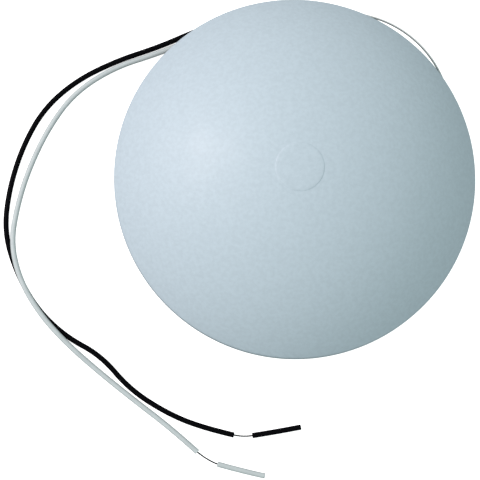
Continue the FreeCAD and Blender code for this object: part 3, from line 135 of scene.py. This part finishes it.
WHITE_STRANDS = [(-0.0404, -0.1143, 0.00115), (-0.0362, -0.1177, 0.00115), (-0.0320, -0.1193, 0.00115)]
BLACK_SLUG = [(-0.0172, -0.1073, 0.00115), (-0.0070, -0.1057, 0.00115), (0.0033, -0.1037, 0.00115)]
WHITE_SLUG = [(-0.0320, -0.1193, 0.00115), (-0.0220, -0.1221, 0.00115), (-0.0119, -0.1243, 0.00115)]


CURVE_STEPS = 16
CURVE_ROUNDNESS = 7


def spline_curve(name, route, radius=0.0):
    """A curve of one smooth spline whose control points are the route's points, and hold its radius."""
    data = bpy.data.curves.new(name, "CURVE")
    data.dimensions = "3D"
    data.resolution_u = CURVE_STEPS
    data.bevel_depth = 1 if radius else 0
    data.bevel_resolution = CURVE_ROUNDNESS
    data.use_fill_caps = radius > 0
    spline = data.splines.new("NURBS")
    spline.points.add(len(route) - 1)
    for point, place in zip(spline.points, route):
        point.co = (*place, 1.0)
        point.radius = radius
    spline.order_u = 3
    spline.use_endpoint_u = True
    piece = bpy.data.objects.new(name, data)
    bpy.context.collection.objects.link(piece)
    return piece


def centreline(route):
    """Points along the smooth line of a route."""
    guide = spline_curve("guide", route)
    mesh = bpy.data.meshes.new_from_object(guide)
    line = [vertex.co.copy() for vertex in mesh.vertices]
    bpy.data.objects.remove(guide)
    bpy.data.meshes.remove(mesh)
    return line


SMOOTH_ANGLE = math.radians(35)
MERGE_DISTANCE = 1e-7


def mesh_piece(name, shape):
    """An object from a bmesh, smooth except across sharp edges."""
    bmesh.ops.remove_doubles(shape, verts=shape.verts, dist=MERGE_DISTANCE)
    bmesh.ops.recalc_face_normals(shape, faces=shape.faces)
    for face in shape.faces:
        face.smooth = True
    for edge in shape.edges:
        if len(edge.link_faces) == 2 and edge.calc_face_angle(0) > SMOOTH_ANGLE:
            edge.smooth = False
    data = bpy.data.meshes.new(name)
    shape.to_mesh(data)
    shape.free()
    piece = bpy.data.objects.new(name, data)
    bpy.context.collection.objects.link(piece)
    return piece


def frames_along(line):
    """A place, a heading and two side directions at each point of a line that lies flat."""
    up = Vector((0, 0, 1))
    for step, place in enumerate(line):
        ahead = line[min(step + 1, len(line) - 1)] - line[max(step - 1, 0)]
        heading = ahead.normalized()
        side = heading.cross(up).normalized()
        yield place, heading, side, side.cross(heading)


def sweep(shape, rings, sides):
    """Skin rings of (centre, radius, side, up) with quads, and close both ends."""
    previous = None
    for centre, radius, side, up in rings:
        angles = [2 * math.pi * step / sides for step in range(sides)]
        ring = [shape.verts.new(centre + (side * math.cos(angle) + up * math.sin(angle)) * radius)
                for angle in angles]
        if previous:
            for step in range(sides):
                after = (step + 1) % sides
                shape.faces.new((previous[step], previous[after], ring[after], ring[step]))
        else:
            shape.faces.new(reversed(ring))
        previous = ring
    shape.faces.new(previous)


STRAND_COUNT = 6
STRAND_SIDES = 10
STRAND_RADIUS = 0.11 * MM
BUNDLE_RADIUS = 0.215 * MM
TWIST_LENGTH = 7 * MM


def strands(name, route):
    """A twisted bundle of fine tinned strands: six round one."""
    line = centreline(route)
    shape = bmesh.new()
    frames = list(frames_along(line))
    sweep(shape, [(place, STRAND_RADIUS, side, up) for place, heading, side, up in frames],
          STRAND_SIDES)
    travelled = [0.0]
    for before, after in zip(line, line[1:]):
        travelled.append(travelled[-1] + (after - before).length)
    for strand in range(STRAND_COUNT):
        rings = []
        for (place, heading, side, up), distance in zip(frames, travelled):
            angle = 2 * math.pi * (strand / STRAND_COUNT + distance / TWIST_LENGTH)
            offset = (side * math.cos(angle) + up * math.sin(angle)) * BUNDLE_RADIUS
            rings.append((place + offset, STRAND_RADIUS, side, up))
        sweep(shape, rings, STRAND_SIDES)
    return mesh_piece(name, shape)


SLUG_SIDES = 40
SLUG_EDGE = 0.12 * MM
SLUG_BORE = 0.42 * MM
SLUG_DEPTH = 0.35 * MM


def slug(name, route):
    """The cut length of insulation left on the strands: a tube with softly rounded cut ends."""
    line = centreline(route)
    frames = list(frames_along(line))
    shape = bmesh.new()
    rings = []
    for end in (0, -1):
        place, heading, side, up = frames[end]
        inward = heading if end == 0 else -heading
        ends = [(place + inward * SLUG_DEPTH, SLUG_BORE), (place, SLUG_BORE),
                (place, LEAD_RADIUS - SLUG_EDGE),
                (place + inward * SLUG_EDGE * SOFTENED, LEAD_RADIUS - SLUG_EDGE * SOFTENED),
                (place + inward * SLUG_EDGE, LEAD_RADIUS)]
        stations = [(centre, radius, side, up) for centre, radius in ends]
        rings += stations if end == 0 else stations[::-1]
        if end == 0:
            middle = [(place, LEAD_RADIUS, side, up) for place, heading, side, up in frames
                      if SLUG_EDGE * 2 < (place - line[0]).length
                      and SLUG_EDGE * 2 < (place - line[-1]).length]
            rings += middle
    sweep(shape, rings, SLUG_SIDES)
    return mesh_piece(name, shape)


def lead(colour, route, bare, cut):
    """One hook-up lead, its strands and the slug on its end."""
    wire = spline_curve(colour + "_lead_insulation", route, LEAD_RADIUS)
    bundle = strands(colour + "_lead_conductor", bare)
    stub = slug(colour + "_lead_cut_end", cut)
    for piece in (wire, bundle, stub):
        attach(piece, "housing")
    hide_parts(colour + "_lead")
    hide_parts(colour + "_lead_strands")
    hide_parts(colour + "_lead_slug")
    return wire, bundle, stub


black_wire, black_bundle, black_stub = lead("black", BLACK_ROUTE, BLACK_STRANDS, BLACK_SLUG)
white_wire, white_bundle, white_stub = lead("white", WHITE_ROUTE, WHITE_STRANDS, WHITE_SLUG)

# ---------------------------------------------------------------- radome

RADOME_SEGMENTS = 256


def on_sphere(radius, distance):
    """Height of the dome's sphere at a distance from the axis."""
    return DOME_CENTRE + math.sqrt(radius ** 2 - distance ** 2)


def arc_steps(start, end, count):
    """Evenly spaced values, both ends included."""
    return [start + (end - start) * step / count for step in range(count + 1)]


CROWN_SOFT = 0.12 * MM
# the soft step from the crown disc down to the dome: share of the softness out, share of the step up
CROWN_EDGE = ((-0.3, 0.85), (0.2, 0.25))
CROWN_FOOT = 1.2
SKIRT_LIP = 0.35 * MM


def radome_profile():
    """Outline of the radome in (radius, height), from the crown's middle round to the inside."""
    outline = [(distance, on_sphere(DOME_RADIUS + CROWN_STEP, distance))
               for distance in arc_steps(0, CROWN_RADIUS - CROWN_SOFT, 10)]
    outline += [(CROWN_RADIUS + CROWN_SOFT * out,
                 on_sphere(DOME_RADIUS + CROWN_STEP * up, CROWN_RADIUS)) for out, up in CROWN_EDGE]
    outline.append((CROWN_RADIUS + CROWN_SOFT * CROWN_FOOT,
                    on_sphere(DOME_RADIUS, CROWN_RADIUS + CROWN_SOFT)))
    edge_angle = math.asin((CROWN_RADIUS + 2 * CROWN_SOFT) / DOME_RADIUS)
    rim_angle = math.asin((RIM_RADIUS - RIM_ROUND) / (DOME_RADIUS - RIM_ROUND))
    outline += [(DOME_RADIUS * math.sin(angle), DOME_CENTRE + DOME_RADIUS * math.cos(angle))
                for angle in arc_steps(edge_angle, rim_angle, 72)]
    rim_centre = DOME_CENTRE + (DOME_RADIUS - RIM_ROUND) * math.cos(rim_angle)
    outline += [(RIM_RADIUS - RIM_ROUND * (1 - math.sin(angle)),
                 rim_centre + RIM_ROUND * math.cos(angle))
                for angle in arc_steps(rim_angle, math.pi / 2, 8)[1:]]
    outline += [(RIM_RADIUS, SKIRT_BOTTOM + SKIRT_LIP),
                (RIM_RADIUS - SKIRT_LIP * SOFTENED, SKIRT_BOTTOM + SKIRT_LIP * SOFTENED),
                (RIM_RADIUS - SKIRT_LIP, SKIRT_BOTTOM), (SKIRT_INNER + SKIRT_LIP, SKIRT_BOTTOM),
                (SKIRT_INNER, SKIRT_BOTTOM + SKIRT_LIP), (SKIRT_INNER, JOINT_PLANE),
                (FLANGE_INNER, JOINT_PLANE), (FLANGE_INNER, RIM_HEIGHT)]
    inner = DOME_RADIUS - DOME_WALL
    inner_edge = math.acos((RIM_HEIGHT - DOME_CENTRE) / inner)
    outline += [(inner * math.sin(angle), DOME_CENTRE + inner * math.cos(angle))
                for angle in arc_steps(inner_edge, 0, 48)]
    return outline


def lathe(name, outline, segments):
    """Turn an outline round the axis; a corner on the axis becomes a single vertex."""
    shape = bmesh.new()
    rings = []
    for radius, height in outline:
        if radius < MERGE_DISTANCE:
            rings.append([shape.verts.new((0, 0, height))])
            continue
        rings.append([shape.verts.new((radius * math.cos(2 * math.pi * step / segments),
                                       radius * math.sin(2 * math.pi * step / segments), height))
                      for step in range(segments)])
    for first, second in zip(rings, rings[1:]):
        for step in range(segments):
            after = (step + 1) % segments
            corners = [first[step % len(first)], first[after % len(first)],
                       second[after % len(second)], second[step % len(second)]]
            unique = list(dict.fromkeys(corners))
            if len(unique) > 2:
                shape.faces.new(unique)
    return mesh_piece(name, shape)


dome = lathe("radome_shell", radome_profile(), RADOME_SEGMENTS)
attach(dome, "housing")
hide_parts("radome")

# ---------------------------------------------------------------- materials


class Surface:
    """A procedural material: a Principled shader fed by noise in the part's own coordinates."""

    def __init__(self, name, colour, roughness, metallic=0.0, coat=0.0, specular=0.5):
        self.material = bpy.data.materials.new(name)
        self.material.use_nodes = True
        self.nodes = self.material.node_tree.nodes
        self.links = self.material.node_tree.links
        self.shader = self.nodes["Principled BSDF"]
        self.shader.inputs["Base Color"].default_value = (*colour, 1)
        self.shader.inputs["Roughness"].default_value = roughness
        self.shader.inputs["Metallic"].default_value = metallic
        self.shader.inputs["Coat Weight"].default_value = coat
        self.shader.inputs["Specular IOR Level"].default_value = specular
        self.place = self.nodes.new("ShaderNodeTexCoord").outputs["Object"]
        self.colour = colour
        self.normal = None

    def stretched(self, scale):
        """Coordinates squeezed differently along each axis."""
        mapping = self.nodes.new("ShaderNodeMapping")
        mapping.inputs["Scale"].default_value = scale
        self.links.new(self.place, mapping.inputs["Vector"])
        return mapping.outputs["Vector"]

    def noise(self, scale, detail, stretch=None):
        """Noise between 0 and 1."""
        node = self.nodes.new("ShaderNodeTexNoise")
        node.inputs["Scale"].default_value = scale
        node.inputs["Detail"].default_value = detail
        self.links.new(self.stretched(stretch) if stretch else self.place, node.inputs["Vector"])
        return node.outputs["Fac"]

    def ramp(self, value, low, high, first, second):
        """Colour from first to second as the value goes from low to high."""
        node = self.nodes.new("ShaderNodeValToRGB")
        node.color_ramp.elements[0].position = low
        node.color_ramp.elements[1].position = high
        node.color_ramp.elements[0].color = (*first, 1)
        node.color_ramp.elements[1].color = (*second, 1)
        self.links.new(value, node.inputs["Fac"])
        return node.outputs["Color"]

    def mottled(self, scale, amount, tint=(1, 1, 1)):
        """Base colour that drifts by an amount either way."""
        darker = [channel * (1 - amount) for channel in self.colour]
        lighter = [min(1, channel * (1 + amount) * shade) for channel, shade in zip(self.colour, tint)]
        value = self.noise(scale, 4.0)
        self.links.new(self.ramp(value, 0.35, 0.65, darker, lighter), self.shader.inputs["Base Color"])
        return self

    def uneven(self, scale, low, high, stretch=None):
        """Roughness between two values."""
        node = self.nodes.new("ShaderNodeMapRange")
        node.inputs["From Min"].default_value = 0.3
        node.inputs["From Max"].default_value = 0.7
        node.inputs["To Min"].default_value = low
        node.inputs["To Max"].default_value = high
        self.links.new(self.noise(scale, 2.0, stretch), node.inputs["Value"])
        self.links.new(node.outputs["Result"], self.shader.inputs["Roughness"])
        return self

    def bumped(self, value, strength, depth):
        """Add a bump of a depth in metres."""
        node = self.nodes.new("ShaderNodeBump")
        node.inputs["Strength"].default_value = strength
        node.inputs["Distance"].default_value = depth
        self.links.new(value, node.inputs["Height"])
        if self.normal:
            self.links.new(self.normal, node.inputs["Normal"])
        self.normal = node.outputs["Normal"]
        self.links.new(self.normal, self.shader.inputs["Normal"])
        return self

    def grained(self, scale, strength, depth, stretch=None):
        """Bump from noise."""
        return self.bumped(self.noise(scale, 2.0, stretch), strength, depth)


RADOME_COLOUR = (0.53, 0.62, 0.69)


def radome_plastic():
    """Pale blue-grey ASA with a fine moulded grain."""
    surface = Surface("radome_plastic", RADOME_COLOUR, 0.5, specular=0.4)
    surface.mottled(620, 0.034)
    surface.uneven(60, 0.46, 0.56)
    surface.grained(700, 0.4, 0.00016)
    return surface.grained(45, 0.05, 0.0006).material


def tray_plastic():
    """White moulded plastic, a little yellower than the dome."""
    surface = Surface("tray_plastic", (0.72, 0.74, 0.74), 0.42)
    surface.mottled(25, 0.015)
    surface.uneven(80, 0.36, 0.50)
    return surface.grained(1200, 0.2, 0.0001).material


def rubber():
    """Matt black rubber with a dusty bloom."""
    surface = Surface("rubber", (0.028, 0.028, 0.030), 0.72, specular=0.35)
    surface.mottled(70, 0.25)
    surface.uneven(200, 0.62, 0.85)
    return surface.grained(2500, 0.3, 0.00008).material


def brass():
    """Turned brass with fine tool marks."""
    surface = Surface("brass", (0.78, 0.56, 0.24), 0.3, metallic=1.0)
    surface.mottled(300, 0.08, tint=(1, 0.98, 0.9))
    surface.uneven(500, 0.22, 0.42)
    return surface.grained(9000, 0.3, 0.00002, stretch=(0.1, 0.1, 1)).material


def stainless():
    """Bead-finished stainless screws."""
    surface = Surface("stainless", (0.60, 0.61, 0.62), 0.32, metallic=1.0)
    surface.mottled(400, 0.06)
    surface.uneven(700, 0.25, 0.45)
    return surface.grained(5000, 0.25, 0.00003).material


def aluminium():
    """Milled aluminium with a directional finish."""
    surface = Surface("aluminium", (0.74, 0.75, 0.77), 0.36, metallic=1.0)
    surface.mottled(90, 0.04)
    surface.uneven(300, 0.28, 0.46, stretch=(1, 12, 1))
    return surface.grained(1400, 0.25, 0.00003, stretch=(1, 18, 1)).material


def ground_steel():
    """Ground bearing steel."""
    surface = Surface("ground_steel", (0.62, 0.63, 0.65), 0.2, metallic=1.0)
    surface.mottled(250, 0.04)
    surface.uneven(900, 0.14, 0.28, stretch=(1, 1, 8))
    return surface.grained(6000, 0.15, 0.00001).material


def acetal():
    """Off-white acetal gears and cages."""
    surface = Surface("acetal", (0.83, 0.81, 0.74), 0.38)
    surface.mottled(120, 0.03, tint=(1, 0.99, 0.96))
    surface.uneven(400, 0.30, 0.46)
    return surface.grained(2400, 0.15, 0.00004).material


def black_moulding():
    """Black glass-filled nylon."""
    surface = Surface("black_moulding", (0.035, 0.035, 0.038), 0.5)
    surface.mottled(180, 0.2)
    surface.uneven(500, 0.42, 0.62)
    return surface.grained(3200, 0.25, 0.00005).material


def motor_shell():
    """Zinc-plated deep-drawn steel can."""
    surface = Surface("motor_shell", (0.42, 0.43, 0.45), 0.34, metallic=1.0)
    surface.mottled(140, 0.1, tint=(1, 1, 0.95))
    surface.uneven(350, 0.26, 0.48)
    return surface.grained(3000, 0.2, 0.00003).material


def circuit_board():
    """Green solder mask over copper tracks."""
    surface = Surface("circuit_board", (0.016, 0.15, 0.055), 0.3, coat=0.4)
    tracks = surface.nodes.new("ShaderNodeTexBrick")
    tracks.inputs["Scale"].default_value = 260
    tracks.inputs["Mortar Size"].default_value = 0.035
    tracks.inputs["Color1"].default_value = (0.014, 0.13, 0.05, 1)
    tracks.inputs["Color2"].default_value = (0.018, 0.16, 0.06, 1)
    tracks.inputs["Mortar"].default_value = (0.05, 0.30, 0.10, 1)
    surface.links.new(surface.place, tracks.inputs["Vector"])
    surface.links.new(tracks.outputs["Color"], surface.shader.inputs["Base Color"])
    surface.uneven(300, 0.24, 0.38)
    return surface.grained(4000, 0.1, 0.00002).material


def component_case():
    """Dark moulded component bodies."""
    surface = Surface("component_case", (0.05, 0.05, 0.06), 0.45)
    surface.mottled(220, 0.18)
    surface.uneven(600, 0.36, 0.55)
    return surface.grained(3000, 0.2, 0.00003).material


def tinned_shield():
    """Tinned shielding cans and pads."""
    surface = Surface("tinned_shield", (0.68, 0.67, 0.62), 0.3, metallic=1.0)
    surface.mottled(200, 0.06)
    surface.uneven(450, 0.22, 0.42)
    return surface.grained(2600, 0.2, 0.00003).material


def insulation(name, colour, amount, specular):
    """Extruded PVC insulation, faintly rippled along its length."""
    surface = Surface(name, colour, 0.5, specular=specular)
    surface.mottled(260, amount)
    surface.uneven(420, 0.38, 0.54)
    surface.grained(420, 0.18, 0.00006)
    return surface.grained(3800, 0.12, 0.00002).material


def tinned_copper():
    """Tinned copper strands."""
    surface = Surface("tinned_copper", (0.04, 0.04, 0.045), 0.42, metallic=1.0)
    surface.mottled(900, 0.12)
    surface.uneven(1500, 0.2, 0.4)
    return surface.grained(9000, 0.2, 0.00001).material


MATERIALS = {
    "radome": radome_plastic(),
    "tray": tray_plastic(),
    "gasket": rubber(),
    "brass": brass(),
    "fastener": stainless(),
    "vent": black_moulding(),
    "chassis": aluminium(),
    "steel": ground_steel(),
    "cage": acetal(),
    "motor": motor_shell(),
    "board": circuit_board(),
    "component": component_case(),
    "shield": tinned_shield(),
    "black_insulation": insulation("black_pvc", (0.002, 0.002, 0.003), 0.2, 0.03),
    "white_insulation": insulation("white_pvc", (0.56, 0.61, 0.62), 0.03, 0.2),
    "strands": tinned_copper(),
}

for entry in frame["record"]["subparts"]:
    part = frame["nodes"][entry["node"]]
    for part_slot in part.material_slots:
        part_slot.material = MATERIALS[entry["material_slot"]]
for piece, slot_name in ((black_wire, "black_insulation"), (black_stub, "black_insulation"),
                         (white_wire, "white_insulation"), (white_stub, "white_insulation"),
                         (black_bundle, "strands"), (white_bundle, "strands"), (dome, "radome")):
    piece.data.materials.append(MATERIALS[slot_name])

# ---------------------------------------------------------------- floor and light

FLOOR_SIZE = 6.0
FLOOR_DROP = 0.02 * MM
FLOOR_PALE = 0.9
FLOOR_GLOW = 0.95
FLOOR_BOUNCE = 0.25
KEY_DIRECTION = Vector((-0.255, 0.094, 0.25)).normalized()
KEY_DISTANCE = 1.8
KEY_SIZE = 0.8
KEY_POWER = 20.2
KEY_COLOUR = (1.0, 0.865, 0.89)
AMBIENT = 0.655
AMBIENT_COLOUR = (0.875, 1.0, 0.976)


def add_floor():
    """A plain pale sheet, lit through a little, that throws little light back on the object."""
    shape = bmesh.new()
    bmesh.ops.create_grid(shape, x_segments=1, y_segments=1, size=FLOOR_SIZE / 2)
    floor = mesh_piece("floor", shape)
    floor.location.z = -FLOOR_DROP
    paper = Surface("paper", (FLOOR_PALE,) * 3, 0.9, specular=0.1)
    paper.grained(300, 0.02, 0.0001)
    paper.shader.inputs["Emission Color"].default_value = (1, 1, 1, 1)
    paper.shader.inputs["Emission Strength"].default_value = FLOOR_GLOW
    bounce = paper.nodes.new("ShaderNodeBsdfDiffuse")
    bounce.inputs["Color"].default_value = (FLOOR_BOUNCE,) * 3 + (1,)
    seen = paper.nodes.new("ShaderNodeLightPath").outputs["Is Camera Ray"]
    mix = paper.nodes.new("ShaderNodeMixShader")
    paper.links.new(seen, mix.inputs["Fac"])
    paper.links.new(bounce.outputs["BSDF"], mix.inputs[1])
    paper.links.new(paper.shader.outputs["BSDF"], mix.inputs[2])
    paper.links.new(mix.outputs["Shader"], paper.nodes["Material Output"].inputs["Surface"])
    floor.data.materials.append(paper.material)


def add_lights():
    """A soft key from the upper left and an even pale surround."""
    key = bpy.data.lights.new("key", "AREA")
    key.shape = "DISK"
    key.size = KEY_SIZE
    key.energy = KEY_POWER
    key.color = KEY_COLOUR
    lamp = bpy.data.objects.new("key", key)
    bpy.context.collection.objects.link(lamp)
    lamp.location = KEY_DIRECTION * KEY_DISTANCE
    lamp.rotation_mode = "QUATERNION"
    lamp.rotation_quaternion = KEY_DIRECTION.to_track_quat("Z", "Y")
    world = bpy.data.worlds.new("surround")
    world.use_nodes = True
    world.node_tree.nodes["Background"].inputs["Color"].default_value = (*AMBIENT_COLOUR, 1)
    world.node_tree.nodes["Background"].inputs["Strength"].default_value = AMBIENT
    bpy.context.scene.world = world


add_floor()
add_lights()
bpy.context.scene.view_settings.view_transform = "Standard"
